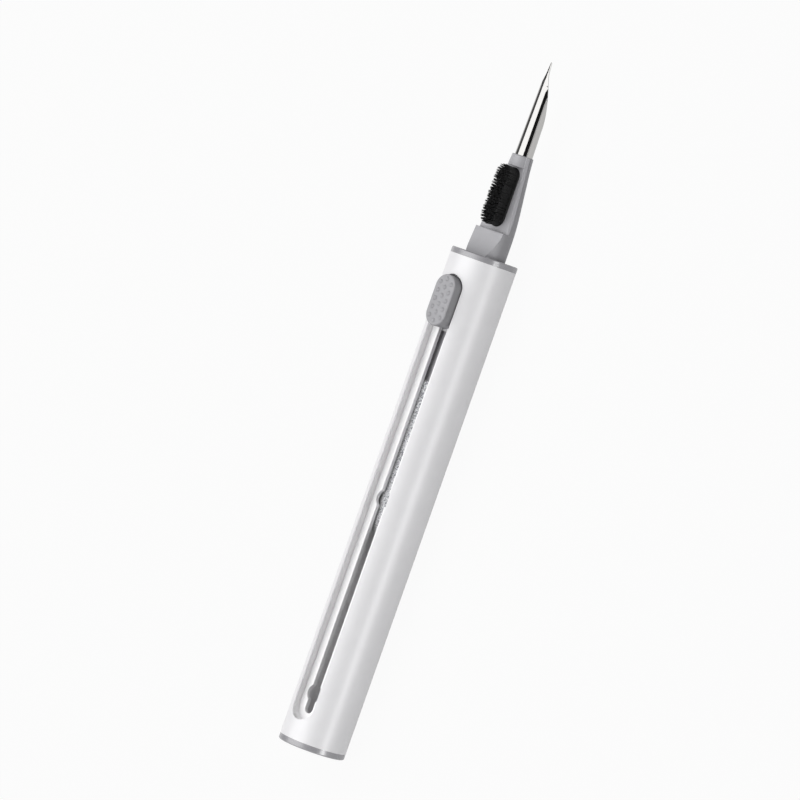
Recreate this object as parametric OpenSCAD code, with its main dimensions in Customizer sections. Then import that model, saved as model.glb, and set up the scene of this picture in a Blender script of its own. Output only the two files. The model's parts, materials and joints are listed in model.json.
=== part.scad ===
// Slide-out cleaning pen. A round barrel has a lengthwise channel and slot, and a carriage runs
// inside it. The carriage holds a steel nib and a bristle brush on one end and a flocked sponge
// on the other, so one slide brings out either head. A sprung stem under the button drops its
// boss into the slot's round widenings, which lock the slide out, in and in the middle.
//
// Each sub-part is drawn about the pen's own axis: local Z runs from the sponge end (0) to the
// nib end, and local +Y points at the button. lay_pen() then lays the pen on its back, with the
// nib towards +X and the button up. Heights are distances from the axis towards the button.

/* [Barrel] */
// Outer diameter of the barrel
barrel_d = 15; // [14:0.1:17]
// Length over both end collars
body_len = 113.3; // [105:0.1:125]
// Wall of the barrel tube
barrel_wall = 1.3; // [1:0.05:1.5]

/* [Channel and slot] */
// Width of the channel that the button runs in
channel_w = 6.15; // [5.2:0.05:6.4]
// Distance from each end of the body to the channel's end
channel_end = 5.7; // [4.5:0.1:6.2]
// Height of the channel's floor above the axis
floor_h = 5; // [5:0.05:5.2]
// Thickness of the web under the channel
web_t = 0.9; // [0.7:0.05:0.9]
// Width of the slot through the web
slot_w = 2.3; // [1.7:0.05:2.4]
// Diameter of the slot's round widenings
detent_d = 4; // [3.4:0.05:4.2]
// Distance from each end of the body to the centre of the widening there
detent_end = 11.9; // [11.4:0.1:13]
// Length of the slot beyond the centre of an end widening
slot_tail = 4.55; // [4.3:0.05:5]

/* [End collars] */
// Thickness of a collar's ring
collar_t = 1.3; // [0.8:0.1:1.6]
// Bevel on the ring's edges
collar_bevel = 0.2; // [0.1:0.05:0.3]
// Length of the spigot that plugs into the bore
spigot_len = 4; // [3:0.1:4.5]
// Height at which the spigot stops below the web
spigot_h = 3; // [2:0.1:3.5]
// Clearance round a spigot in the bore
spigot_gap = 0.05; // [0.02:0.01:0.1]
// Clearance round the heads where they slide out
pass_gap = 0.15; // [0.1:0.05:0.3]

/* [Carriage] */
// Clearance of the carriage and the heads in the bore
run_gap = 0.15; // [0.1:0.05:0.25]
// Room left between the carriage and a spigot at each end of its travel
stop_gap = 0.4; // [0.2:0.1:0.6]
// Length of the running land at each end of the carriage
land_len = 2.4; // [1.5:0.1:3]
// Depth of the relief between the lands
relief_depth = 0.4; // [0.2:0.1:0.6]
// Diameter of the pegs that hold the heads
peg_d = 4; // [3:0.1:4.4]
// Length of the pegs
peg_len = 3; // [2:0.1:3]
// Clearance in glued seats
glue_gap = 0.03; // [0.02:0.01:0.05]

/* [Button] */
// Clearance between the button and each side of the channel
button_gap = 0.25; // [0.1:0.05:0.3]
// Clearance between the button and the channel's end
button_end_gap = 0.45; // [0.3:0.05:0.8]
// How far the button stands out of the barrel
button_proud = 1.58; // [0.8:0.01:2]
// Gap between the button and the channel's floor while it slides
button_floor_gap = 0.15; // [0.1:0.05:0.3]
// Bevel on the button's upper edge
button_bevel = 0.15; // [0.1:0.05:0.4]
// How far the button rises when its boss enters a widening
button_lift = 0.6; // [0.4:0.05:0.65]
// Diameter of a grip dot
dot_d = 1.1; // [0.7:0.05:1.2]
// Height of a grip dot
dot_h = 0.3; // [0.1:0.05:0.35]
// Spacing of the grip dots along the button
dot_pitch = 1.88; // [1.6:0.02:2]
// Bare margin at the ends of the middle column of dots
dot_margin = 0.3; // [0.2:0.05:1]
// Distance of the outer columns of dots from the middle one
dot_column = 1.6; // [1.3:0.05:1.7]

/* [Lock stem and spring] */
// Clearance between the stem and each side of the slot
stem_gap = 0.1; // [0.05:0.05:0.15]
// Clearance between the stem and the slot's end
tail_gap = 0.3; // [0.2:0.1:0.6]
// Clearance between the boss and a widening
boss_gap = 0.15; // [0.1:0.05:0.3]
// Gap between the boss and the web while it slides
ride_gap = 0.1; // [0.05:0.05:0.15]
// Diameter of the stem's foot
foot_d = 4.8; // [4.5:0.1:5]
// Thickness of the foot
foot_t = 1.05; // [0.8:0.05:1.5]
// Clearance round the foot in its pocket
foot_gap = 0.2; // [0.1:0.05:0.25]
// Gap between the foot and the web when the button is up
foot_stop_gap = 0.05; // [0.02:0.01:0.1]
// How deep the stem reaches into the button
stem_in_button = 2; // [1.2:0.1:2.4]
// Length of the lock spring as fitted
spring_len = 5.6; // [5:0.1:6.5]
// Mean diameter of the lock spring
spring_d = 2.6; // [2.4:0.1:3]
// Wire diameter of the lock spring
spring_wire = 0.4; // [0.3:0.05:0.45]
// Turns of the lock spring
spring_turns = 5.5; // [4:0.5:5.5]
// Clearance between the spring and the pin that centres it
spring_pin_gap = 0.35; // [0.2:0.05:0.5]
// Length of the pin that centres the spring
spring_pin_len = 0.8; // [0.5:0.1:1.5]

/* [Nib holder] */
// Diameter of the holder where it leaves the barrel
holder_d = 9; // [8.4:0.1:9.4]
// How far the holder stands out of the barrel
holder_out = 23.25; // [22:0.05:28]
// Length of the sloping shoulder outside the barrel
shoulder_len = 5.9; // [4:0.1:7]
// Height of the shoulder's slope at the barrel
slope_start_h = 3.5; // [3:0.1:3.8]
// Height of the shoulder's slope at its ledge
slope_end_h = 1.6; // [1:0.1:2.4]
// Radius of the shoulder's hollow slope
scoop_r = 15; // [12:0.5:40]
// Height of the flat that the brush sits on
flat_h = 0.4; // [0:0.1:0.5]
// Bevel along the sides of that flat
flat_bevel = 0.5; // [0.2:0.05:0.6]
// Diameter of the holder's back at its tip
holder_tip_d = 5.4; // [5:0.1:6.5]
// Angle of the holder's tapered back
taper_deg = 6.5; // [5:0.1:9]
// Half length of the curve that leads into the taper
blend_len = 3.5; // [1:0.1:3.5]
// Diameter of the nib's round boss at its foot
nib_boss_foot_d = 5.1; // [4.9:0.1:6]
// Diameter of the nib's round boss at its top
nib_boss_d = 4.7; // [4.6:0.1:5.4]
// Length of the nib's round boss
nib_boss_len = 2.6; // [2:0.1:3]
// How far the boss's centre lies behind the axis
nib_boss_back = 0.7; // [0.6:0.05:0.8]
// Flat rim left round the nib's seat inside the boss's bevel
nib_rim = 0.25; // [0.15:0.05:0.4]

/* [Nib] */
// Diameter of the nib's rod
nib_d = 4; // [3:0.1:4]
// Length of nib that shows
nib_len = 21.1; // [18:0.1:24]
// Thickness of the boss's floor under the nib's seat
nib_seat_floor = 0.7; // [0.5:0.1:1.2]
// Diameter of the tang that anchors the nib in its holder
tang_d = 1.5; // [1:0.1:1.6]
// Length of the tang below the nib's seat
tang_len = 6; // [4:0.1:8]
// How far the rod's centre lies behind the axis
nib_back = 0.85; // [0.6:0.05:0.9]
// Diameter that the rod would taper to at the tip, if it weren't ground to a point
nib_end_d = 3.2; // [3:0.1:3.8]
// Length of the slender point
nib_needle = 1.5; // [0.5:0.1:3]
// Diameter of the slender point at its root
nib_needle_d = 0.56; // [0.4:0.02:1]
// Length of the hollow curve that leads into the slender point
nib_neck = 2.1; // [1:0.1:6]
// Height of the point above the axis
nib_point_h = 0.7; // [0.5:0.05:0.75]
// Diameter of the slender point at its tip
nib_tip_d = 0.28; // [0.2:0.02:0.4]

/* [Brush] */
// Width of the brush
brush_w = 4; // [3.2:0.1:4.4]
// Distance from the holder's ledge to the brush
brush_gap = 1.05; // [0.4:0.05:1.2]
// Distance from the brush to the nib's boss
brush_end_gap = 0.3; // [0.2:0.1:1]
// Thickness of the brush's pad
pad_t = 0.5; // [0.4:0.05:0.6]
// Depth of the pad's seat in the holder
pad_seat = 0.2; // [0.1:0.05:0.3]
// Slice of the pad that the bristles grow from
slice_t = 0.15; // [0.1:0.05:0.2]
// Length of the longest bristles
bristle_len = 3.37; // [2:0.01:3.38]
// Distance between neighbouring bristles
bristle_pitch = 0.37; // [0.36:0.01:0.5]
// Thickness of a bristle at its root
bristle_d = 0.25; // [0.15:0.01:0.26]
// Thickness of a bristle at its tip
bristle_tip_d = 0.15; // [0.08:0.01:0.2]
// How far the bristles at the brush's ends lean outwards
bristle_splay = 0.34; // [0.1:0.01:0.4]
// How much shorter the bristles are at the brush's ends
bristle_crown = 0.13; // [0:0.01:0.5]
// How much shorter than its neighbours a bristle may be
bristle_uneven = 0.26; // [0:0.01:0.4]
// Bare edge of the pad round the bristles
bristle_edge = 0.12; // [0.05:0.01:0.3]

/* [Sponge] */
// Diameter of the sponge at its ferrule
sponge_d = 8.6; // [7.5:0.1:8.8]
// Diameter of the sponge where its dome begins
sponge_dome_d = 8.1; // [7:0.1:8.6]
// Length of the sponge
sponge_len = 36.1; // [28:0.1:40]
// Length of the sponge's domed end
sponge_dome_len = 4.8; // [3:0.1:6]
// How far the ferrule stands out of the barrel when the sponge is out
ferrule_out = 5.65; // [4:0.05:7]
// Diameter of the ferrule's end against the sponge
ferrule_tip_d = 8.7; // [8:0.1:9]
// Bevel on the ferrule's edge
ferrule_bevel = 0.2; // [0.1:0.05:0.4]
// Height of the ferrule's flat under the slot
ferrule_flat_h = 3.1; // [2.6:0.1:3.7]
// Diameter of the core rod inside the sponge
core_d = 3; // [2:0.1:4]
// Length of sponge beyond the core rod's tip
core_tip_gap = 7.1; // [5:0.1:12]
// Length of core rod inside the ferrule
core_root = 6; // [4:0.1:8]

/* [Hidden] */
$fn = 72;
eps = 0.01;
white_plastic = [0.95, 0.95, 0.96];
grey_plastic = [0.66, 0.66, 0.68];
dark_grey = [0.58, 0.58, 0.6];
black_fibre = [0.06, 0.06, 0.06];
steel = [0.8, 0.81, 0.82];
sponge_grey = [0.8, 0.81, 0.84];

// Sections of the barrel
barrel_r = barrel_d / 2;
bore_r = barrel_r - barrel_wall;
pass_r = holder_d / 2 + pass_gap;
web_under = floor_h - web_t;
head_h = web_under - run_gap;

// Places along the pen
travel = body_len - 2 * detent_end;
button_z = body_len - detent_end;
carriage_half = detent_end - collar_t - spigot_len - stop_gap;
carriage_low = button_z - carriage_half;
carriage_high = button_z + carriage_half;
ledge_z = body_len + shoulder_len;
holder_tip_z = body_len + holder_out;
overall_len = holder_tip_z + nib_len;
sponge_base_z = travel - ferrule_out;

// Button and lock stem, at the height where they slide freely
button_w = channel_w - 2 * button_gap;
button_len = 2 * (detent_end - channel_end - button_end_gap);
button_under = floor_h + button_floor_gap;
button_top = barrel_r + button_proud;
stem_t = slot_w - 2 * stem_gap;
stem_len = 2 * (slot_tail - tail_gap);
stem_top = button_under + stem_in_button;
boss_d = detent_d - 2 * boss_gap;
boss_top = web_under - ride_gap;
foot_top = web_under - button_lift - foot_stop_gap;
foot_under = foot_top - foot_t;
spring_floor = foot_under - spring_len;
pocket_d = foot_d + 2 * foot_gap;
spring_pin_d = spring_d - spring_wire - 2 * spring_pin_gap;

// Sponge
core_in_sponge = sponge_len - core_tip_gap;

// Brush
brush_len = holder_out - shoulder_len - nib_boss_len - brush_gap - brush_end_gap;
brush_z = ledge_z + brush_gap + brush_len / 2;
pad_top = flat_h - pad_seat + pad_t;
bristle_fan = 1 + 2 * bristle_splay / brush_len;

// Lays the pen on its back on the floor, centred along its length
module lay_pen() translate([-overall_len / 2, 0, barrel_r]) rotate([90, 0, 90]) children();

// Stands a shape on the plane at a height above the axis, with its own Z pointing at the button
module on_top(h, z) translate([0, h, z]) rotate([-90, 0, 0]) children();

// Cuts its children off flat at a height above the axis
module below(h) intersection() {
    children();
    translate([-barrel_r, -barrel_r, 0]) cube([barrel_d, barrel_r + h, overall_len]);
}

// A circle cut off flat at a height above its centre
module d_section(r, cut_h) intersection() {
    circle(r = r);
    translate([-r, -r]) square([2 * r, r + cut_h]);
}

// A strip with round ends
module obround(w, l) {
    square([w, l - w], center = true);
    for (side = [-1, 1]) translate([0, side * (l - w) / 2]) circle(d = w);
}

module barrel() color(white_plastic) lay_pen() difference() {
    translate([0, 0, collar_t]) linear_extrude(body_len - 2 * collar_t) difference() {
        circle(d = barrel_d);
        d_section(bore_r, web_under);
    }
    on_top(floor_h, body_len / 2) linear_extrude(barrel_r) obround(channel_w, body_len - 2 * channel_end);
    on_top(web_under - web_t, body_len / 2) linear_extrude(3 * web_t) {
        obround(slot_w, travel + 2 * slot_tail);
        for (step = [-1 : 1]) translate([0, step * travel / 2]) circle(d = detent_d);
    }
}

// End collar with its outer face at 0 and its spigot towards +Z
module collar() {
    rotate_extrude() polygon([
        [pass_r + collar_bevel, 0], [barrel_r - collar_bevel, 0], [barrel_r, collar_bevel],
        [barrel_r, collar_t], [pass_r, collar_t], [pass_r, collar_bevel]
    ]);
    translate([0, 0, collar_t / 2]) linear_extrude(collar_t / 2 + spigot_len) difference() {
        d_section(bore_r - spigot_gap, spigot_h);
        circle(r = pass_r);
    }
}

module nib_end_collar() color(dark_grey) lay_pen() translate([0, 0, body_len]) mirror([0, 0, 1]) collar();

module sponge_end_collar() color(dark_grey) lay_pen() collar();

module carriage() color(grey_plastic) lay_pen() difference() {
    translate([0, 0, carriage_low]) linear_extrude(2 * carriage_half)
        d_section(bore_r - run_gap, head_h);
    translate([0, 0, carriage_low + land_len]) linear_extrude(2 * (carriage_half - land_len)) difference() {
        circle(r = bore_r);
        circle(r = bore_r - run_gap - relief_depth);
    }
    on_top(spring_floor, button_z) cylinder(d = pocket_d, h = bore_r - spring_floor);
    on_top(foot_top - stem_gap, button_z) linear_extrude(bore_r)
        obround(stem_t + 2 * stem_gap, stem_len + 2 * stem_gap);
    translate([0, 0, carriage_low - eps]) cylinder(d = peg_d + 2 * glue_gap, h = peg_len + glue_gap + eps);
    translate([0, 0, carriage_high - peg_len - glue_gap])
        cylinder(d = peg_d + 2 * glue_gap, h = peg_len + glue_gap + eps);
}

// Seat of the nib in its boss
nib_seat = nib_boss_len - nib_seat_floor;
nib_low = holder_tip_z - nib_seat;

// Half outline of the nib holder: a straight shank, a curve and a tapered back
knee_z = holder_tip_z - (holder_d - holder_tip_d) / 2 / tan(taper_deg);
blend_r = blend_len / tan(taper_deg / 2);
blend_steps = 6;
holder_outline = [
    [0, carriage_high],
    [holder_d / 2, carriage_high],
    for (i = [0 : blend_steps])
        let (a = taper_deg * i / blend_steps)
        [holder_d / 2 - blend_r * (1 - cos(a)), knee_z - blend_len + blend_r * sin(a)],
    [holder_tip_d / 2, holder_tip_z],
    [0, holder_tip_z]
];

// Side outline of the nib holder: flat under the web up to the ledge, then the flat for the brush
holder_side = [
    [carriage_high, -holder_d], [carriage_high, head_h], [ledge_z, head_h],
    [ledge_z, flat_h], [holder_tip_z, flat_h], [holder_tip_z, -holder_d]
];

// Centre of the hollow slope, whose curve runs from the barrel to the ledge
slope_drop = slope_start_h - slope_end_h;
slope_chord = norm([shoulder_len, slope_drop]);
scoop_rise = sqrt(scoop_r * scoop_r - slope_chord * slope_chord / 4);
scoop_z = body_len + shoulder_len / 2 + scoop_rise * slope_drop / slope_chord;
scoop_h = (slope_start_h + slope_end_h) / 2 + scoop_rise * shoulder_len / slope_chord;

// What the bevel takes off one side of the flat. It follows the straight part of the tapered back.
bevel_run = tan(taper_deg);
bevel_x = holder_tip_d / 2 + (holder_tip_z - ledge_z) * bevel_run - flat_bevel;
module flat_edge() intersection() {
    translate([bevel_x, flat_h, ledge_z]) rotate([0, acos(bevel_run / norm([1, 1, bevel_run])), 45])
        translate([-holder_out, -holder_out, 0]) cube([2 * holder_out, 2 * holder_out, holder_d]);
    translate([-holder_d, -holder_d, ledge_z]) cube([2 * holder_d, 2 * holder_d, holder_out]);
}

// Radius at the tip of the cone that bevels the boss's rim
rim_r = nib_d / 2 + glue_gap + nib_rim;

module nib_holder() color(grey_plastic) lay_pen() difference() {
    union() {
        difference() {
            intersection() {
                rotate_extrude() polygon(holder_outline);
                rotate([0, -90, 0]) linear_extrude(2 * holder_d, center = true) polygon(holder_side);
            }
            flat_edge();
            mirror([1, 0, 0]) flat_edge();
        }
        translate([0, 0, holder_tip_z - nib_boss_len]) intersection() {
            translate([0, -nib_boss_back, 0])
                cylinder(d1 = nib_boss_foot_d, d2 = nib_boss_d, h = nib_boss_len);
            translate([0, -nib_back, 0]) cylinder(r1 = rim_r + nib_boss_len, r2 = rim_r, h = nib_boss_len);
        }
        translate([0, 0, carriage_high - peg_len]) cylinder(d = peg_d, h = 2 * peg_len);
    }
    translate([-holder_d, scoop_h, scoop_z]) rotate([0, 90, 0]) cylinder(r = scoop_r, h = 2 * holder_d);
    translate([0, -nib_back, nib_low - glue_gap])
        cylinder(d = nib_d + 2 * glue_gap, h = nib_seat + nib_d);
    translate([0, -nib_back, nib_low - tang_len - glue_gap])
        cylinder(d = tang_d + 2 * glue_gap, h = tang_len + nib_seat);
    on_top(flat_h - pad_seat, brush_z) linear_extrude(pad_t)
        obround(brush_w + 2 * glue_gap, brush_len + 2 * glue_gap);
}

// Half outline of the ground point, about a line through the tip: a full curve, a hollow one that
// meets it without a corner, and the slender point
nib_reach = nib_point_h + nib_back + nib_d / 2 + eps;
point_len = nib_len - nib_needle;
point_belly = point_len - nib_neck;
function point_fall(d) = d < point_belly
    ? 1 - d * d / point_belly / point_len
    : pow(point_len - d, 2) / nib_neck / point_len;
point_steps = 24;
point_outline = [
    [0, nib_low],
    [nib_reach, nib_low],
    for (i = [0 : point_steps])
        let (d = point_len * i / point_steps)
        [nib_needle_d / 2 + (nib_reach - nib_needle_d / 2) * point_fall(d), holder_tip_z + d],
    [nib_tip_d / 2, overall_len],
    [0, overall_len]
];

module nib() color(steel) lay_pen() {
    intersection() {
        translate([0, -nib_back, nib_low]) {
            cylinder(d = nib_d, h = nib_seat);
            translate([0, 0, nib_seat]) cylinder(d1 = nib_d, d2 = nib_end_d, h = nib_len);
        }
        translate([0, nib_point_h, 0]) rotate_extrude() polygon(point_outline);
    }
    translate([0, -nib_back, nib_low - tang_len]) cylinder(d = tang_d, h = tang_len + nib_seat);
}

module brush_pad() color(black_fibre) lay_pen()
    on_top(flat_h - pad_seat, brush_z) linear_extrude(pad_t - slice_t) obround(brush_w, brush_len);

// A repeatable number from 0 to 1 for each bristle
function uneven(i, j, salt) = let (n = sin(i * 127.1 + j * 311.7 + salt * 74.7) * 437.5) n - floor(n);

// Distance from a point to the middle line of the brush, which has round ends
function off_line(p) = norm([p[0], max(abs(p[1]) - (brush_len - brush_w) / 2, 0)]);

// Bristle places on a lattice of triangles, kept inside the pad's edge
row_step = bristle_pitch * sqrt(3) / 2;
brush_rows = ceil(brush_len / 2 / row_step);
brush_columns = ceil(brush_w / 2 / bristle_pitch);
bristle_places = [
    for (j = [-brush_rows : brush_rows], i = [-brush_columns : brush_columns])
        let (p = [(i + (j % 2 == 0 ? 0 : 0.5)) * bristle_pitch, j * row_step])
        if (off_line(p) < brush_w / 2 - bristle_edge - bristle_d / 2) [p[0], p[1], i, j]
];

// Three corners of one bristle at its root or, with the fan and the uneven length, at its tip
function bristle_ring(p, r, fan, h) =
    [for (a = [0, 120, 240]) [p[0] * fan + r * cos(a), p[1] * fan + r * sin(a), h]];

function bristle_height(p) = slice_t + bristle_len - bristle_uneven * uneven(p[2], p[3], 1)
    - bristle_crown * pow(2 * p[1] / brush_len, 2);

bristle_points = [
    for (p = bristle_places) each concat(
        bristle_ring(p, bristle_d / 2, 1, slice_t / 2),
        bristle_ring(p, bristle_tip_d / 2, bristle_fan, bristle_height(p))
    )
];

// Faces of a three-sided strand, clockwise from outside
strand_faces = [
    [0, 1, 2], [5, 4, 3],
    [0, 4, 1], [0, 3, 4], [1, 5, 2], [1, 4, 5], [2, 3, 0], [2, 5, 3]
];
bristle_faces = [for (n = [0 : len(bristle_places) - 1], f = strand_faces) [for (k = f) 6 * n + k]];

module bristles() color(black_fibre) lay_pen() on_top(pad_top - slice_t, brush_z) {
    linear_extrude(slice_t) obround(brush_w, brush_len);
    polyhedron(bristle_points, bristle_faces);
}

module sponge_ferrule() color(grey_plastic) lay_pen() difference() {
    union() {
        below(ferrule_flat_h) rotate_extrude() polygon([
            [0, sponge_base_z], [ferrule_tip_d / 2 - ferrule_bevel, sponge_base_z],
            [ferrule_tip_d / 2, sponge_base_z + ferrule_bevel], [holder_d / 2, travel],
            [holder_d / 2, carriage_low], [0, carriage_low]
        ]);
        translate([0, 0, carriage_low - peg_len]) cylinder(d = peg_d, h = 2 * peg_len);
    }
    translate([0, 0, sponge_base_z - eps])
        cylinder(d = core_d + 2 * glue_gap, h = core_root + glue_gap + eps);
}

module sponge_core() color(white_plastic) lay_pen() translate([0, 0, sponge_base_z - core_in_sponge])
    cylinder(d = core_d, h = core_in_sponge + core_root);

// Half outline of the sponge: a domed end that swells to the ferrule
dome_steps = 12;
sponge_tip_z = sponge_base_z - sponge_len;
sponge_outline = [
    for (i = [0 : dome_steps])
        let (a = 90 * i / dome_steps)
        [sponge_dome_d / 2 * sin(a), sponge_tip_z + sponge_dome_len * (1 - cos(a))],
    [sponge_d / 2, sponge_base_z],
    [0, sponge_base_z]
];

module sponge() color(sponge_grey) lay_pen() difference() {
    below(head_h) rotate_extrude() polygon(sponge_outline);
    translate([0, 0, sponge_base_z - core_in_sponge - glue_gap])
        cylinder(d = core_d + 2 * glue_gap, h = core_in_sponge + 2 * glue_gap);
}

// Half outline of the button across its width, bevelled at the top
button_t = button_top - button_under;
button_outline = [
    [0, 0], [button_w / 2, 0], [button_w / 2, button_t - button_bevel],
    [button_w / 2 - button_bevel, button_t], [0, button_t]
];

// Grip dots: two outer columns, and a middle one with a dot more, half a step out of line
dot_rows = floor((button_len - 2 * dot_margin - dot_d) / dot_pitch);
dot_r = (pow(dot_d / 2, 2) + dot_h * dot_h) / 2 / dot_h;
dot_places = [
    for (i = [0 : dot_rows - 1], side = [-1, 1]) [side * dot_column, (i - (dot_rows - 1) / 2) * dot_pitch],
    for (i = [0 : dot_rows]) [0, (i - dot_rows / 2) * dot_pitch]
];

module button_cap() color(grey_plastic) lay_pen() on_top(button_under, button_z) difference() {
    union() {
        rotate([90, 0, 0]) linear_extrude(button_len - button_w, center = true) {
            polygon(button_outline);
            mirror([1, 0]) polygon(button_outline);
        }
        for (side = [-1, 1]) translate([0, side * (button_len - button_w) / 2, 0])
            rotate_extrude() polygon(button_outline);
        for (p = dot_places) translate([p[0], p[1], button_t + dot_h - dot_r]) sphere(r = dot_r);
    }
    translate([0, 0, -eps]) linear_extrude(stem_in_button + glue_gap + eps)
        obround(stem_t + 2 * glue_gap, stem_len + 2 * glue_gap);
}

module lock_stem() color(dark_grey) lay_pen() {
    on_top(foot_under, button_z) cylinder(d = foot_d, h = foot_t);
    on_top(foot_under, button_z) cylinder(d = boss_d, h = boss_top - foot_under);
    on_top(foot_top, button_z) linear_extrude(stem_top - foot_top) obround(stem_t, stem_len);
    on_top(foot_under - spring_pin_len, button_z) cylinder(d = spring_pin_d, h = spring_pin_len + foot_t);
}

// Lock spring: one helix tube with its own Z along the coil
rings_per_turn = 8;
wire_sides = 6;
ring_count = spring_turns * rings_per_turn;
spring_rise = (spring_len - spring_wire - 2 * glue_gap) / ring_count;
function coil_point(i) = let (a = 360 * i / rings_per_turn)
    [spring_d / 2 * cos(a), spring_d / 2 * sin(a), glue_gap + spring_wire / 2 + spring_rise * i];
function coil_run(i) = let (a = 360 * i / rings_per_turn, run = PI * spring_d / rings_per_turn)
    [-run * sin(a), run * cos(a), spring_rise] / norm([run, spring_rise]);
function wire_ring(i) =
    let (a = 360 * i / rings_per_turn, out = [cos(a), sin(a), 0], up = cross(coil_run(i), out))
    [for (k = [0 : wire_sides - 1])
        let (turn = 360 * k / wire_sides)
        coil_point(i) + spring_wire / 2 * (cos(turn) * out + sin(turn) * up)];
wire_points = [for (i = [0 : ring_count]) each wire_ring(i)];
function at_ring(i, k) = i * wire_sides + k % wire_sides;
wire_faces = [
    for (k = [1 : wire_sides - 2]) [0, k, k + 1],
    for (k = [1 : wire_sides - 2])
        [at_ring(ring_count, 0), at_ring(ring_count, k + 1), at_ring(ring_count, k)],
    for (i = [0 : ring_count - 1], k = [0 : wire_sides - 1]) each [
        [at_ring(i, k), at_ring(i + 1, k + 1), at_ring(i, k + 1)],
        [at_ring(i, k), at_ring(i + 1, k), at_ring(i + 1, k + 1)]
    ]
];
spring_self_gap = min([
    for (i = [0 : ring_count - rings_per_turn / 2], j = [i + rings_per_turn / 2 : ring_count])
        norm(coil_point(i) - coil_point(j))
]) - spring_wire;
echo(least_gap_between_spring_turns = spring_self_gap, bristle_count = len(bristle_places));

module lock_spring() color(steel) lay_pen() on_top(spring_floor, button_z)
    polyhedron(wire_points, wire_faces);

barrel();
nib_end_collar();
sponge_end_collar();
carriage();
nib_holder();
nib();
brush_pad();
bristles();
sponge_ferrule();
sponge_core();
sponge();
button_cap();
lock_stem();
lock_spring();
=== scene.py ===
"""Looks of a slide-out cleaning pen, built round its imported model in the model's own frame, in metres.

The pen lies on its back along X, with its button up and its nib towards +X. The solids keep their shape
and get materials. The bristles and the flocked sponge are modelled here and replace their plain solids.
"""

import json
import math

import bpy
import numpy as np
from mathutils import Matrix, Vector
from mathutils.kdtree import KDTree


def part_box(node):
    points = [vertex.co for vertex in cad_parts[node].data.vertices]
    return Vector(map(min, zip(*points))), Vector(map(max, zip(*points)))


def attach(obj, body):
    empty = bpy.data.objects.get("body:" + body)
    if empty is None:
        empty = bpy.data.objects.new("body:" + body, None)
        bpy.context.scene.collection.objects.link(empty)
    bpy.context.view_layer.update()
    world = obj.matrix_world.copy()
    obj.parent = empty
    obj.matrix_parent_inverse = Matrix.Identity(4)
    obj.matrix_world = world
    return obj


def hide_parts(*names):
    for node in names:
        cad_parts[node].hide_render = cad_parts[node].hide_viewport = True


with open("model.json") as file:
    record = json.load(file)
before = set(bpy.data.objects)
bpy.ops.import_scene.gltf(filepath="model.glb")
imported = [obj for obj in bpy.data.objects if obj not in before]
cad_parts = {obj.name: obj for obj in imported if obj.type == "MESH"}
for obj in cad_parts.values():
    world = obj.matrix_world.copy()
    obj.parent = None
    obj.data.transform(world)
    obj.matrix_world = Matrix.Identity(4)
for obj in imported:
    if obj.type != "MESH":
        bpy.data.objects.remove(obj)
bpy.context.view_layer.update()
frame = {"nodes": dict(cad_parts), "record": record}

MM = 0.001

# Pen

PEN_AXIS = Vector((1, 0, 0))
# The barrel is round and lies on the floor, so its axis is half its width up
AXIS_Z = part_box("barrel")[1].y

# Camera, from the photograph

SENSOR_MM = 36
LENS_MM = 217.97
CLIP_START = 0.01
CLIP_END = 50
CAMERA_DISTANCE = 1.05
# Angle about the pen's axis from the button's direction to the camera
CAMERA_SIDE = math.radians(42.4)
# Lean of the view towards the nib
CAMERA_LEAD = math.radians(1.87)
# Lean of the pen to the right of upright in the picture
CAMERA_ROLL = math.radians(19.485)
# Centre of the picture: along X, and to the right of the pen's axis
AIM_X = -0.935 * MM
AIM_RIGHT = -7.065 * MM

# Noise in the finishes

NOISE_DETAIL = 2
NOISE_ROUGHNESS = 0.55
# Values between which a noise mostly stays
NOISE_RANGE = (0.25, 0.75)
# Values between which it takes a finish from its darker to its lighter shade
SHADE_RANGE = (0.3, 0.7)

# Plastic

MOTTLE_SIZE = 4 * MM
# How far the roughness strays either way
GLOSS_STRAY = 0.05
BEVEL_SAMPLES = 6
# Depth of the barrel's skin, under which the inside is painted lighter as a stand-in for light that comes
# through the thin white walls, and the depth over which the skin fades into it
SKIN = 0.3 * MM
SKIN_FADE = SKIN / 4
# The channel's walls get painted shade, turning greyer from this depth up to the skin, by this share
WALL_SHADE_START = 1.3 * MM
WALL_EDGE_SHADE = 0.24
# Painted shade: upright faces are darker by this share than faces that look up
PAINTED_SIDE_SHADE = 0.25
# Heights of a face's normal between which the painted shade of upright faces gives way to the plain colour of
# faces that look up
PAINTED_SIDE_SHADE_Z = (0.15, 0.6)

# Steel, with hair lines along the rod

HAIR_WIDTH = 0.06 * MM
# Width of a hair line over its length
HAIR_RATIO = 0.02
HAIR_DEPTH = 0.0002 * MM
HAIR_DARKER = 0.04
HAIR_LIGHTER = 0.03
STEEL_ROUGHNESS = (0.05, 0.1)

# Fibres and foam

# Point attribute that holds each strand's shade, from 0 to 1
TINT = "tint"
# A strand whose direction is this near to X sets out its sides from Y
NEAR_X = 0.9
# How far light goes into a clear fibre
CLEAR_DEPTH = 0.2 * MM
CELL_SIZE = 0.35 * MM
CELL_DETAIL = 3
CELL_DEPTH = 0.1 * MM
# Noise values between which a cell's dark middle, which is painted shade in the foam's pores, turns into its
# light wall
CELL_RANGE = (0.4, 0.56)
FOAM_ROUGHNESS = 0.9

# Bristles: fine strands on the pad, whose tips gather in small tufts

BRISTLE_SEED = 11
STRAND_PITCH = 0.145 * MM
STRAND_R = 0.055 * MM
STRAND_SIDES = 4
# Rings of a strand: their places along it and their widths, as shares
STRAND_STEPS = (0, 0.4, 0.75, 1.0)
STRAND_TAPER = (1.0, 0.95, 0.85, 0.45)
TUFT_PITCH = 0.6 * MM
# Share of the way to its tuft's middle that a tip is drawn
TUFT_PULL = 0.4
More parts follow.
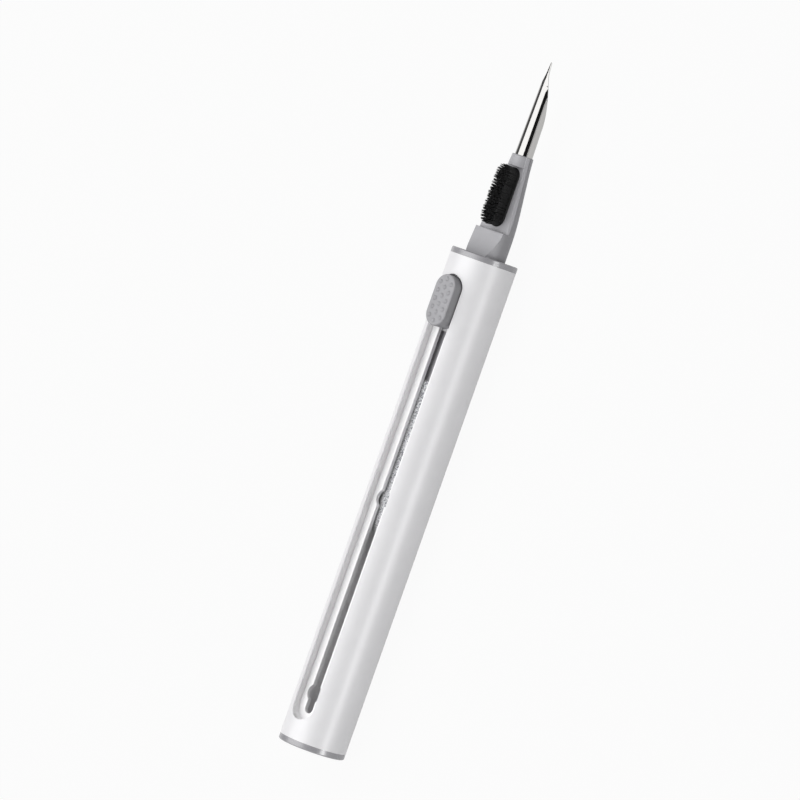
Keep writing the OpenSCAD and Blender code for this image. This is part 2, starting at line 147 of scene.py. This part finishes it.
# Roots and tufts stray from their lattices by this share of the pitch, and tips by this length
PLACE_STRAY = 0.2
TIP_STRAY = 0.03 * MM
# Room between the roots and the pad's outline
PAD_EDGE = 0.12 * MM
# Slice of the pad that holds the strands, steps of its round ends, and how deep the roots go
PAD_SLICE = 0.15 * MM
PAD_STEPS = 16
ROOT_SINK = 0.05 * MM
# Outward lean of the tips along and across the pad, over a root's distance from the pad's middle
END_SPLAY = 0.05
SIDE_SPLAY = 0.11
# Power of the way up a strand by which its lean grows
BEND_POWER = 1.6
# How much shorter the strands are at the pad's ends, and the power by which they get shorter
END_CROWN = 0.35 * MM
CROWN_POWER = 4
# How unevenly tufts and strands are cut
TUFT_UNEVEN = 0.22 * MM
STRAND_UNEVEN = 0.08 * MM

# Sponge: a foam body with short flocked fibres

SPONGE_SEED = 23
# Length of the dome, and its width over the sponge's width at the ferrule
DOME_LEN = 4.8 * MM
DOME_RATIO = 8.1 / 8.6
DOME_STEPS = 24
SIDE_STEPS = 60
SPONGE_TURNS = 96
# Depth of the foam under the sponge's outline, of the fibres' feet in the foam, and the fibres' reach outside
FLOCK_SINK = 0.3 * MM
FLOCK_ROOT = 0.05 * MM
FLOCK_REACH = 0.25 * MM
FLOCK_PITCH = 0.22 * MM
FLOCK_R = 0.045 * MM
FLOCK_SIDES = 3
# Rings of a fibre: their places along it and their widths, as shares
FLOCK_STEPS = (0, 0.6, 1.0)
FLOCK_TAPER = (1.0, 0.9, 0.45)
# Spread of a fibre's lean, over a unit length
FLOCK_LEAN = 0.2
# Length of the shortest fibre over the longest
FLOCK_SHORTEST = 0.7
# Turn from one fibre to the next that spreads them evenly, and how far they stray from it
GOLDEN_ANGLE = math.pi * (3 - math.sqrt(5))
TURN_STRAY = 0.01
# Neighbouring fibres gather in clumps, with the foam between them, whose dark cells are painted shade
CLUMP_SIZE = 0.55 * MM
CLUMP_PULL = 0.4
# How far the flock stands above the flat that the web presses into the sponge
FLOCK_PRESSED = 0.1 * MM

# Floor and room

WHITE = (1, 1, 1, 1)
FLOOR_HALF = 6.0
FLOOR_COLOUR = (0.36, 0.36, 0.362, 1)
FLOOR_ROUGHNESS = 0.9
# Share of plain white in the floor as the camera sees it, and as it shows in reflections
FLOOR_GLOW_SEEN = 0.95
FLOOR_GLOW_MIRRORED = 0.7
ROOM_COLOUR = (0.012, 0.012, 0.012, 1)

# Lamps

LAMP_DISTANCE = 0.9
# Each fills a range of angles round the pen, in degrees from the camera's side and positive to the right,
# and a stretch of X. Its radiance is how bright its face is.
LAMPS = {
    "rear_card": dict(angles=(-132, -95), stretch=(-0.8, 0.8), radiance=0.1),
    "rear_top": dict(angles=(-94, -62), stretch=(-0.8, 0.05), radiance=2.35),
    "top": dict(angles=(-62, -31), stretch=(-0.8, 0.05), radiance=2.5),
    # What the nib mirrors is wider and dimmer, and ends nearer to the camera's side
    "nib_top": dict(angles=(-84, -12), stretch=(0.05, 0.3), radiance=1.65),
    "far_top": dict(angles=(-94, -31), stretch=(0.3, 0.85), radiance=2.8),
    "camera_fill": dict(angles=(-31, 33), stretch=(-0.8, 0.05), radiance=0.27, distance=1.2),
    # The strip ends short of what the nib mirrors, which is the plain fill
    "front_strip": dict(angles=(34.5, 47.5), stretch=(-0.35, 0.06), radiance=10.2),
    "front_fill": dict(angles=(33, 47.5), stretch=(0.096, 0.8), radiance=0.6),
}
END_CARD_X = -1.5
END_CARD_WIDTH = 2.4
END_CARD_HEIGHT = 1.2
END_CARD_RADIANCE = 0.7


# Materials

def shade(colour, share):
    """A colour made darker or lighter by a share."""
    return tuple(min(1.0, c * (1 + share)) for c in colour)


class Nodes:
    """The node tree of a material or a world, with short calls for what the looks need."""

    def __init__(self, owner, shader="Principled BSDF", output="Material Output"):
        owner.use_nodes = True
        self.owner = owner
        self.tree = owner.node_tree
        self.shader = self.tree.nodes[shader]
        self.output = self.tree.nodes[output]

    def add(self, kind, **settings):
        node = self.tree.nodes.new(kind)
        for key, value in settings.items():
            setattr(node, key, value)
        return node

    def link(self, source, target):
        self.tree.links.new(source, target)

    def set(self, **values):
        """Sets the shader's inputs to plain values."""
        for key, value in values.items():
            self.shader.inputs[key.replace("_", " ")].default_value = value

    def feed(self, **sources):
        """Links sockets to the shader's inputs."""
        for key, source in sources.items():
            self.link(source, self.shader.inputs[key.replace("_", " ")])

    def place(self):
        """Object coordinates."""
        return self.add("ShaderNodeTexCoord").outputs["Object"]

    def mapped_place(self, scale, shift=(0, 0, 0)):
        """Object coordinates scaled by axis and then shifted."""
        node = self.add("ShaderNodeMapping")
        self.link(self.place(), node.inputs["Vector"])
        node.inputs["Scale"].default_value = scale
        node.inputs["Location"].default_value = shift
        return node.outputs["Vector"]

    def noise(self, size, detail=NOISE_DETAIL, place=None):
        """Noise whose grains are about size metres across."""
        node = self.add("ShaderNodeTexNoise")
        self.link(place or self.place(), node.inputs["Vector"])
        node.inputs["Scale"].default_value = 1 / size
        node.inputs["Detail"].default_value = detail
        node.inputs["Roughness"].default_value = NOISE_ROUGHNESS
        return node.outputs["Fac"]

    def ramp(self, factor, *stops):
        """Colour ramp between two (position, colour) stops."""
        node = self.add("ShaderNodeValToRGB")
        self.link(factor, node.inputs["Fac"])
        for element, (position, colour) in zip(node.color_ramp.elements, stops):
            element.position = position
            element.color = (*colour, 1)
        return node.outputs["Color"]

    def mottle(self, noise, colour, darker, lighter):
        """A colour that noise makes darker and lighter by two shares."""
        first, last = SHADE_RANGE
        return self.ramp(noise, (first, shade(colour, -darker)), (last, shade(colour, lighter)))

    def blend(self, factor, near, far):
        """One socket's colour at factor 0 and another's at factor 1."""
        node = self.add("ShaderNodeMixRGB")
        for key, socket in (("Fac", factor), ("Color1", near), ("Color2", far)):
            self.link(socket, node.inputs[key])
        return node.outputs["Color"]

    def map_range(self, value, start, end, low=0, high=1):
        """Goes from low to high while a value goes from start to end."""
        node = self.add("ShaderNodeMapRange")
        self.link(value, node.inputs["Value"])
        for key, number in (("From Min", start), ("From Max", end), ("To Min", low), ("To Max", high)):
            node.inputs[key].default_value = number
        return node.outputs["Result"]

    def spread(self, noise, low, high):
        """Goes from low to high over the range of a noise."""
        return self.map_range(noise, *NOISE_RANGE, low, high)

    def off_axis(self, start, end):
        """Rises from 0 to 1 between two distances from the pen's axis."""
        far = self.add("ShaderNodeVectorMath", operation="LENGTH")
        self.link(self.mapped_place((0, 1, 1), shift=(0, 0, -AXIS_Z)), far.inputs[0])
        return self.map_range(far.outputs["Value"], start, end)

    def facing_up(self, start, end):
        """Rises from 0 to 1 as a face turns from upright to level, between two heights of its normal."""
        parts = self.add("ShaderNodeSeparateXYZ")
        self.link(self.add("ShaderNodeNewGeometry").outputs["Normal"], parts.inputs["Vector"])
        return self.map_range(parts.outputs["Z"], start, end)

    def soft_edge(self, radius):
        """Normal that rounds the edges off."""
        node = self.add("ShaderNodeBevel", samples=BEVEL_SAMPLES)
        node.inputs["Radius"].default_value = radius
        return node.outputs["Normal"]

    def bump(self, height, depth, under=None):
        """Bump of a real depth in metres, on top of another normal."""
        node = self.add("ShaderNodeBump")
        self.link(height, node.inputs["Height"])
        node.inputs["Strength"].default_value = 1
        node.inputs["Distance"].default_value = depth
        if under:
            self.link(under, node.inputs["Normal"])
        return node.outputs["Normal"]

    def whiten(self, kind, share):
        """Mixes plain white from a kind of light shader into the look, by a share."""
        white = self.add(kind)
        white.inputs["Color"].default_value = WHITE
        mix = self.add("ShaderNodeMixShader")
        self.link(share, mix.inputs["Fac"])
        self.link(self.shader.outputs[0], mix.inputs[1])
        self.link(white.outputs[0], mix.inputs[2])
        self.link(mix.outputs["Shader"], self.output.inputs["Surface"])


def moulded(name, colour, roughness, grain, depth, variation=0.03, ior=1.5, soft=0.1 * MM,
            inside=None, painted_side_shade=0.0):
    """Moulded plastic: a faint mottle, an uneven gloss, the mould's fine grain and edges of a small radius.

    A colour for the inside, painted lighter than the skin to stand in for light that comes through the walls,
    shows nearer to the pen's axis than the barrel's skin, and the channel's walls get painted shade towards
    their top edge. Faces that look up keep the colour, and upright ones get painted shade, darker by a share.
    """
    n = Nodes(bpy.data.materials.new(name))
    cloud = n.noise(MOTTLE_SIZE)
    cover = n.mottle(cloud, colour, variation, variation)
    # The inside is painted lighter than the skin, as light that comes through the walls, and the walls darken
    # towards the skin with painted shade
    if inside:
        top = AXIS_Z - SKIN
        wall = n.ramp(n.off_axis(AXIS_Z - WALL_SHADE_START, top), (0, inside), (1, shade(inside, -WALL_EDGE_SHADE)))
        cover = n.blend(n.off_axis(top, top + SKIN_FADE), wall, cover)
    # Painted shade: upright faces are darker than faces that look up
    if painted_side_shade:
        upright = n.mottle(cloud, colour, variation + painted_side_shade, variation - painted_side_shade)
        cover = n.blend(n.facing_up(*PAINTED_SIDE_SHADE_Z), upright, cover)
    grains = n.noise(grain)
    n.feed(Base_Color=cover,
           Roughness=n.spread(grains, roughness - GLOSS_STRAY, roughness + GLOSS_STRAY),
           Normal=n.bump(grains, depth, under=n.soft_edge(soft)))
    n.set(IOR=ior)
    return n.owner


def polished_steel(name, colour):
    """Ground and polished steel, with hair lines along the rod."""
    n = Nodes(bpy.data.materials.new(name))
    hairs = n.noise(HAIR_WIDTH, place=n.mapped_place((HAIR_RATIO, 1, 1)))
    n.feed(Base_Color=n.mottle(hairs, colour, HAIR_DARKER, HAIR_LIGHTER),
           Roughness=n.spread(hairs, *STEEL_ROUGHNESS),
           Normal=n.bump(hairs, HAIR_DEPTH))
    n.set(Metallic=1)
    return n.owner


def fibre(name, dark, light, roughness, sheen, glow_through=0.0):
    """Fibres whose shade is stored strand by strand. Light passes into clear ones by a share."""
    n = Nodes(bpy.data.materials.new(name))
    tint = n.add("ShaderNodeAttribute", attribute_name=TINT)
    n.feed(Base_Color=n.ramp(tint.outputs["Fac"], (0, dark), (1, light)))
    n.set(Roughness=roughness, Sheen_Weight=sheen, Subsurface_Weight=glow_through,
          Subsurface_Radius=(1, 1, 1), Subsurface_Scale=CLEAR_DEPTH)
    return n.owner


def foam(name, dark, light):
    """Open foam under the flock: small dark cells of painted shade between light walls."""
    n = Nodes(bpy.data.materials.new(name))
    cells = n.noise(CELL_SIZE, detail=CELL_DETAIL)
    first, last = CELL_RANGE
    n.feed(Base_Color=n.ramp(cells, (first, dark), (last, light)), Normal=n.bump(cells, CELL_DEPTH))
    n.set(Roughness=FOAM_ROUGHNESS)
    return n.owner


BUTTON_GREY = (0.385, 0.382, 0.4)
HEAD_GREY = shade(BUTTON_GREY, 0.1)
PLASTICS = {
    # The barrel's inside colour is painted lighter than its skin, as light that comes through the walls, and
    # its channel's walls get painted shade
    "barrel_white": dict(colour=(0.86, 0.855, 0.87), roughness=0.42, grain=0.12 * MM, depth=0.0008 * MM,
                         variation=0.012, ior=1.88, soft=0.06 * MM, inside=(0.97, 0.965, 0.972)),
    "collar_grey": dict(colour=(0.33, 0.325, 0.345), roughness=0.27, grain=0.1 * MM, depth=0.001 * MM,
                        ior=1.95, soft=0.05 * MM),
    # The head and the button have painted shade on their upright faces
    "head_grey": dict(colour=HEAD_GREY, roughness=0.45, grain=0.14 * MM, depth=0.002 * MM,
                      soft=0.2 * MM, painted_side_shade=PAINTED_SIDE_SHADE),
    "button_grey": dict(colour=BUTTON_GREY, roughness=0.5, grain=0.12 * MM, depth=0.006 * MM,
                        soft=0.2 * MM, painted_side_shade=PAINTED_SIDE_SHADE),
    "inner_plastic": dict(colour=(0.6, 0.6, 0.61), roughness=0.45, grain=0.15 * MM, depth=0.002 * MM),
    "brush_black": dict(colour=(0.012, 0.012, 0.013), roughness=0.6, grain=0.1 * MM, depth=0.003 * MM,
                        variation=0.3),
}
STEELS = {
    "nib_steel": (0.57, 0.562, 0.55),
    "spring_steel": (0.62, 0.62, 0.63),
}
FINISHES = {name: moulded(name, **look) for name, look in PLASTICS.items()}
FINISHES.update({name: polished_steel(name, colour) for name, colour in STEELS.items()})
BRISTLE_FINISH = fibre("bristle_nylon", dark=(0.004, 0.004, 0.004), light=(0.014, 0.014, 0.015),
                       roughness=0.5, sheen=0.0)
FLOCK_FINISH = fibre("flock_fibre", dark=(0.92, 0.925, 0.945), light=(0.985, 0.986, 0.99),
                     roughness=0.8, sheen=0.5, glow_through=1.0)
# The foam's dark cells are painted shade, which shows in the gaps between the flock's clumps
FOAM_FINISH = foam("flock_foam", dark=(0.07, 0.08, 0.11), light=(0.86, 0.865, 0.885))


def dress_solids():
    """Gives each solid the finish of its slot.

    The stem takes the button's, because it shows in the slot as part of the button. The sponge's slot has
    none here, because its solid is replaced.
    """
    for row in frame["record"]["subparts"]:
        solid = frame["nodes"][row["node"]]
        slot = "button_grey" if row["node"] == "lock_stem" else row["material_slot"]
        if slot in FINISHES:
            solid.data.materials.clear()
            solid.data.materials.append(FINISHES[slot])


# Meshes

def new_piece(name, points, faces, body, materials, tint, face_material=None):
    """A smooth mesh object in the frame that rides on a body."""
    mesh = bpy.data.meshes.new(name)
    mesh.from_pydata([tuple(p) for p in points], [], faces)
    mesh.polygons.foreach_set("use_smooth", [True] * len(mesh.polygons))
    for material in materials:
        mesh.materials.append(material)
    if face_material is not None:
        mesh.polygons.foreach_set("material_index", face_material)
    mesh.attributes.new(TINT, "FLOAT", "POINT").data.foreach_set("value", tint)
    mesh.validate()
    piece = bpy.data.objects.new(name, mesh)
    bpy.context.scene.collection.objects.link(piece)
    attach(piece, body)
    return piece


def shifted(faces, start):
    """Faces of points that come after the first start points."""
    return [tuple(start + i for i in face) for face in faces]


def unit(vectors):
    """Rows of an array at length 1."""
    return vectors / np.linalg.norm(vectors, axis=1, keepdims=True)


def strand_rings(centres, radii, sides):
    """Rings of points about each strand's centre line. centres is strands by rings by 3."""
    along = unit(centres[:, -1] - centres[:, 0])
    helper = np.where(np.abs(along[:, :1]) > NEAR_X, np.array([[0.0, 1, 0]]), np.array([[1.0, 0, 0]]))
    side = unit(np.cross(along, helper))
    other = np.cross(along, side)
    turn = np.arange(sides) * 2 * math.pi / sides
    spoke = np.cos(turn)[None, :, None] * side[:, None] + np.sin(turn)[None, :, None] * other[:, None]
    return centres[:, :, None] + spoke[:, None] * radii[None, :, None, None]


def strand_mesh(centres, radii, sides, tint):
    """Points, faces and tints of many strands, each closed at its tip."""
    rings = strand_rings(centres, radii, sides)
    strands, steps = rings.shape[:2]
    faces = []
    for s in range(strands):
        base = s * steps * sides
        for i in range(steps - 1):
            low = base + i * sides
            for k in range(sides):
                nxt = (k + 1) % sides
                faces.append((low + k, low + nxt, low + sides + nxt, low + sides + k))
        faces.append(tuple(base + (steps - 1) * sides + k for k in range(sides)))
    return rings.reshape(-1, 3), faces, np.repeat(tint, steps * sides)


# Bristles

def pad_slab(low, high, top):
    """Points and faces of the pad's slice, a strip with round ends on top of the pad's box."""
    r = (high.y - low.y) / 2
    ends = ((high.x - r, -90), (low.x + r, 90))
    angles = [math.radians(180 * i / PAD_STEPS) for i in range(PAD_STEPS + 1)]
    outline = [(x + r * math.cos(a + math.radians(start)), r * math.sin(a + math.radians(start)))
               for x, start in ends for a in angles]
    n = len(outline)
    points = [(x, y, z) for z in (high.z, top) for x, y in outline]
    faces = [tuple(range(n, 2 * n)), tuple(reversed(range(n)))]
    faces += [(i, (i + 1) % n, n + (i + 1) % n, n + i) for i in range(n)]
    return points, faces


def strip_lattice(low, high, pitch, edge):
    """Places on a lattice of triangles inside a strip with round ends, from its middle."""
    r = (high.y - low.y) / 2
    straight = (high.x - low.x) / 2 - r
    step = pitch * math.sqrt(3) / 2
    rows = int((straight + r) / step) + 1
    columns = int(r / pitch) + 1
    places = []
    for j in range(-rows, rows + 1):
        for i in range(-columns, columns + 1):
            x = j * step
            y = (i + 0.5 * (j % 2)) * pitch
            if math.hypot(max(abs(x) - straight, 0), y) < r - edge:
                places.append((x, y))
    return np.array(places)


def bristle_lines(low, high, pad_top, rng):
    """Centre lines of the strands: roots on a lattice, tips drawn together in tufts and cut unevenly."""
    root = strip_lattice(low, high, STRAND_PITCH, PAD_EDGE)
    root += rng.normal(0, PLACE_STRAY * STRAND_PITCH, root.shape)
    tuft = strip_lattice(low, high, TUFT_PITCH, 0)
    tuft += rng.normal(0, PLACE_STRAY * TUFT_PITCH, tuft.shape)
    nearest = np.argmin(np.linalg.norm(root[:, None] - tuft[None], axis=2), axis=1)
    lean = root * [END_SPLAY, SIDE_SPLAY] + TUFT_PULL * (tuft[nearest] - root)
    lean += rng.normal(0, TIP_STRAY, root.shape)
    short = TUFT_UNEVEN * rng.uniform(0, 1, len(tuft))[nearest]
    short += STRAND_UNEVEN * rng.uniform(0, 1, len(root))
    half_len = (high.x - low.x) / 2
    tip_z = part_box("bristles")[1].z
    length = tip_z - pad_top - short - END_CROWN * (root[:, 0] / half_len) ** CROWN_POWER
    way = np.array(STRAND_STEPS)
    middle = np.array([(low.x + high.x) / 2, 0])
    flat = middle + root[:, None] + way[None, :, None] ** BEND_POWER * lean[:, None]
    height = pad_top - ROOT_SINK + way[None] * (length[:, None] + ROOT_SINK)
    return np.concatenate([flat, height[..., None]], axis=2)


def make_bristles():
    rng = np.random.default_rng(BRISTLE_SEED)
    low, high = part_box("brush_pad")
    pad_top = high.z + PAD_SLICE
    centres = bristle_lines(low, high, pad_top, rng)
    radii = STRAND_R * np.array(STRAND_TAPER)
    points, faces, tint = strand_mesh(centres, radii, STRAND_SIDES, rng.uniform(0, 1, len(centres)))
    slab, slab_faces = pad_slab(low, high, pad_top)
    piece = new_piece(
        "bristle_tufts", np.vstack([points, slab]), faces + shifted(slab_faces, len(points)), "carriage",
        [BRISTLE_FINISH], np.concatenate([tint, np.zeros(len(slab))]))
    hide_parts("bristles")


# Sponge

def sponge_profile():
    """Half outline of the sponge's solid as (x, r): a dome, then a slow swell to the ferrule."""
    low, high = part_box("sponge")
    base_r = (high.y - low.y) / 2
    dome_r = base_r * DOME_RATIO
    dome_end = low.x + DOME_LEN
    swell = (base_r - dome_r) / (high.x - dome_end)
    dome = [(dome_end - DOME_LEN * math.cos(a), dome_r * math.sin(a))
            for a in np.linspace(0, math.pi / 2, DOME_STEPS)]
    side = [(x, dome_r + swell * (x - dome_end)) for x in np.linspace(dome_end, high.x, SIDE_STEPS)[1:]]
    return np.array(dome + side)


def outline_normals(profile):
    """Outward normals at the points of a half outline that starts at its tip."""
    run = np.diff(profile, axis=0)
    normal = unit(np.stack([-run[:, 1], run[:, 0]], 1))
    return np.vstack([[-1, 0], (normal[1:] + normal[:-1]) / 2, normal[-1]])


def band_areas(profile):
    """Areas of the bands between the points of a half outline, once round the axis."""
    middle_r = (profile[1:, 1] + profile[:-1, 1]) / 2
    return 2 * math.pi * middle_r * np.linalg.norm(np.diff(profile, axis=0), axis=1)


def turned(flat, angle):
    """Points or directions (x, r), each turned about X by its own angle."""
    return np.stack([flat[:, 0], flat[:, 1] * np.cos(angle), flat[:, 1] * np.sin(angle)], 1)


def foam_body(profile, normal, flat_z):
    """Points and faces of the foam, a revolved form under the flock that is pressed flat at the top."""
    inner = profile - normal * FLOCK_SINK
    inner[:, 1] = np.maximum(inner[:, 1], 0)
    inner[-1, 0] = profile[-1, 0]
    turns = SPONGE_TURNS
    angles = np.arange(turns) * 2 * math.pi / turns
    points = [(x, r * math.cos(a), min(AXIS_Z + r * math.sin(a), flat_z))
              for x, r in inner[1:] for a in angles]
    tip = len(points)
    points.append((inner[0, 0], 0, AXIS_Z))
    faces = [(tip, (k + 1) % turns, k) for k in range(turns)]
    last_row = tip - turns
    for row in range(0, last_row, turns):
        for k in range(turns):
            nxt = (k + 1) % turns
            faces.append((row + k, row + nxt, row + turns + nxt, row + turns + k))
    faces.append(tuple(range(last_row, tip)))
    return points, faces


def flock_feet(profile, normal, area, rng):
    """Feet of the fibres, spread evenly over the sponge's area, and the directions that they stand in."""
    count = int(area.sum() / FLOCK_PITCH ** 2)
    reached = np.concatenate([[0], np.cumsum(area) / area.sum()])
    where = np.interp((np.arange(count) + 0.5) / count, reached, np.arange(len(profile)))
    angle = np.arange(count) * GOLDEN_ANGLE + rng.normal(0, TURN_STRAY, count)
    before = np.minimum(where.astype(int), len(profile) - 2)
    part = (where - before)[:, None]
    out = turned(normal[before] * (1 - part) + normal[before + 1] * part, angle)
    place = turned(profile[before] * (1 - part) + profile[before + 1] * part, angle)
    return place + [0, 0, AXIS_Z] - out * (FLOCK_SINK + FLOCK_ROOT), out


def clump_middles(foot, clumps, rng):
    """For each foot, the middle of its clump: the nearest of the feet that are drawn as middles."""
    middle = foot[rng.choice(len(foot), clumps, replace=False)]
    tree = KDTree(clumps)
    for i, point in enumerate(middle):
        tree.insert(point, i)
    tree.balance()
    return middle[[tree.find(point)[1] for point in foot]]


def make_sponge():
    rng = np.random.default_rng(SPONGE_SEED)
    flat_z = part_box("sponge")[1].z
    profile = sponge_profile()
    normal = outline_normals(profile)
    area = band_areas(profile)
    foot, out = flock_feet(profile, normal, area, rng)
    along = unit(out + rng.normal(0, FLOCK_LEAN, out.shape))
    length = (FLOCK_SINK + FLOCK_REACH + FLOCK_ROOT) * rng.uniform(FLOCK_SHORTEST, 1.0, len(foot))
    clump = clump_middles(foot, int(area.sum() / CLUMP_SIZE ** 2), rng)
    rise = along * length[:, None] + CLUMP_PULL * (clump - foot)
    centres = foot[:, None] + np.array(FLOCK_STEPS)[None, :, None] * rise[:, None]
    radii = FLOCK_R * np.array(FLOCK_TAPER)
    points, faces, tint = strand_mesh(centres, radii, FLOCK_SIDES, rng.uniform(0, 1, len(foot)))
    points[:, 2] = np.minimum(points[:, 2], flat_z + FLOCK_PRESSED)
    body, body_faces = foam_body(profile, normal, flat_z)
    piece = new_piece(
        "flocked_sponge", np.vstack([points, body]), faces + shifted(body_faces, len(points)), "carriage",
        [FLOCK_FINISH, FOAM_FINISH], np.concatenate([tint, np.zeros(len(body))]),
        [0] * len(faces) + [1] * len(body_faces))
    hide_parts("sponge")


# Stage

def around(angle):
    """Direction square to the pen's axis, at an angle from the camera's side, positive to the right."""
    back = Vector((0, -math.sin(CAMERA_SIDE), math.cos(CAMERA_SIDE)))
    right = PEN_AXIS.cross(back)
    return back * math.cos(angle) + right * math.sin(angle)


def put(name, data, place, right, up, back):
    """A lamp or camera at a place, which faces away from back."""
    thing = bpy.data.objects.new(name, data)
    bpy.context.scene.collection.objects.link(thing)
    thing.matrix_world = Matrix.Translation(place) @ Matrix((right, up, back)).transposed().to_4x4()
    return thing


def make_floor():
    """A pale floor that is nearly white to the camera and a little darker in reflections."""
    corners = [(x * FLOOR_HALF, y * FLOOR_HALF, 0) for x, y in ((-1, -1), (1, -1), (1, 1), (-1, 1))]
    mesh = bpy.data.meshes.new("floor")
    mesh.from_pydata(corners, [], [(0, 1, 2, 3)])
    n = Nodes(bpy.data.materials.new("pale_floor"))
    n.set(Base_Color=FLOOR_COLOUR, Roughness=FLOOR_ROUGHNESS)
    path = n.add("ShaderNodeLightPath")
    seen = n.add("ShaderNodeMath", operation="MULTIPLY")
    n.link(path.outputs["Is Camera Ray"], seen.inputs[0])
    seen.inputs[1].default_value = FLOOR_GLOW_SEEN
    share = n.add("ShaderNodeMath", operation="MULTIPLY_ADD")
    n.link(path.outputs["Is Glossy Ray"], share.inputs[0])
    share.inputs[1].default_value = FLOOR_GLOW_MIRRORED
    n.link(seen.outputs["Value"], share.inputs[2])
    n.whiten("ShaderNodeEmission", share.outputs["Value"])
    mesh.materials.append(n.owner)
    floor = bpy.data.objects.new("floor", mesh)
    bpy.context.scene.collection.objects.link(floor)


def make_world():
    """A dark room with a white backdrop that only the camera sees."""
    world = bpy.data.worlds.new("studio")
    bpy.context.scene.world = world
    n = Nodes(world, "Background", "World Output")
    n.set(Color=ROOM_COLOUR)
    n.whiten("ShaderNodeBackground", n.add("ShaderNodeLightPath").outputs["Is Camera Ray"])


def area_lamp(name, length, width, radiance):
    """Data of a rectangular lamp, given by how bright its face is."""
    lamp = bpy.data.lights.new(name, "AREA")
    lamp.shape = "RECTANGLE"
    lamp.size = length
    lamp.size_y = width
    lamp.energy = radiance * math.pi * length * width
    return lamp


def softbox(name, angles, stretch, radiance, distance=LAMP_DISTANCE):
    """A lamp that fills a range of angles round the pen and a stretch of X."""
    back = around(math.radians(sum(angles) / 2))
    width = 2 * distance * math.tan(math.radians(angles[1] - angles[0]) / 2)
    lamp = area_lamp(name, stretch[1] - stretch[0], width, radiance)
    place = Vector((sum(stretch) / 2, 0, AXIS_Z)) + back * distance
    put(name, lamp, place, PEN_AXIS, back.cross(PEN_AXIS), back)


def end_card():
    """A card past the sponge end that shows only in reflections, for steel that is seen from its point."""
    lamp = area_lamp("end_card", END_CARD_WIDTH, END_CARD_HEIGHT, END_CARD_RADIANCE)
    place = Vector((END_CARD_X, 0, END_CARD_HEIGHT / 2))
    side = Vector((0, 1, 0))
    card = put("end_card", lamp, place, side, -PEN_AXIS.cross(side), -PEN_AXIS)
    card.visible_diffuse = False


def make_lamps():
    for name, lamp in LAMPS.items():
        softbox(name, **lamp)
    end_card()


def make_camera():
    data = bpy.data.cameras.new("photo_camera")
    data.lens = LENS_MM
    data.sensor_width = SENSOR_MM
    data.clip_start = CLIP_START
    data.clip_end = CLIP_END
    facing = around(0)
    side = PEN_AXIS.cross(facing)
    back = facing * math.cos(CAMERA_LEAD) + PEN_AXIS * math.sin(CAMERA_LEAD)
    along = PEN_AXIS * math.cos(CAMERA_LEAD) - facing * math.sin(CAMERA_LEAD)
    up = along * math.cos(CAMERA_ROLL) - side * math.sin(CAMERA_ROLL)
    right = side * math.cos(CAMERA_ROLL) + along * math.sin(CAMERA_ROLL)
    aim = Vector((AIM_X, 0, AXIS_Z)) + side * AIM_RIGHT
    bpy.context.scene.camera = put("photo_camera", data, aim + back * CAMERA_DISTANCE, right, up, back)


dress_solids()
make_bristles()
make_sponge()
make_floor()
make_world()
make_lamps()
make_camera()
bpy.context.scene.view_settings.view_transform = "Standard"
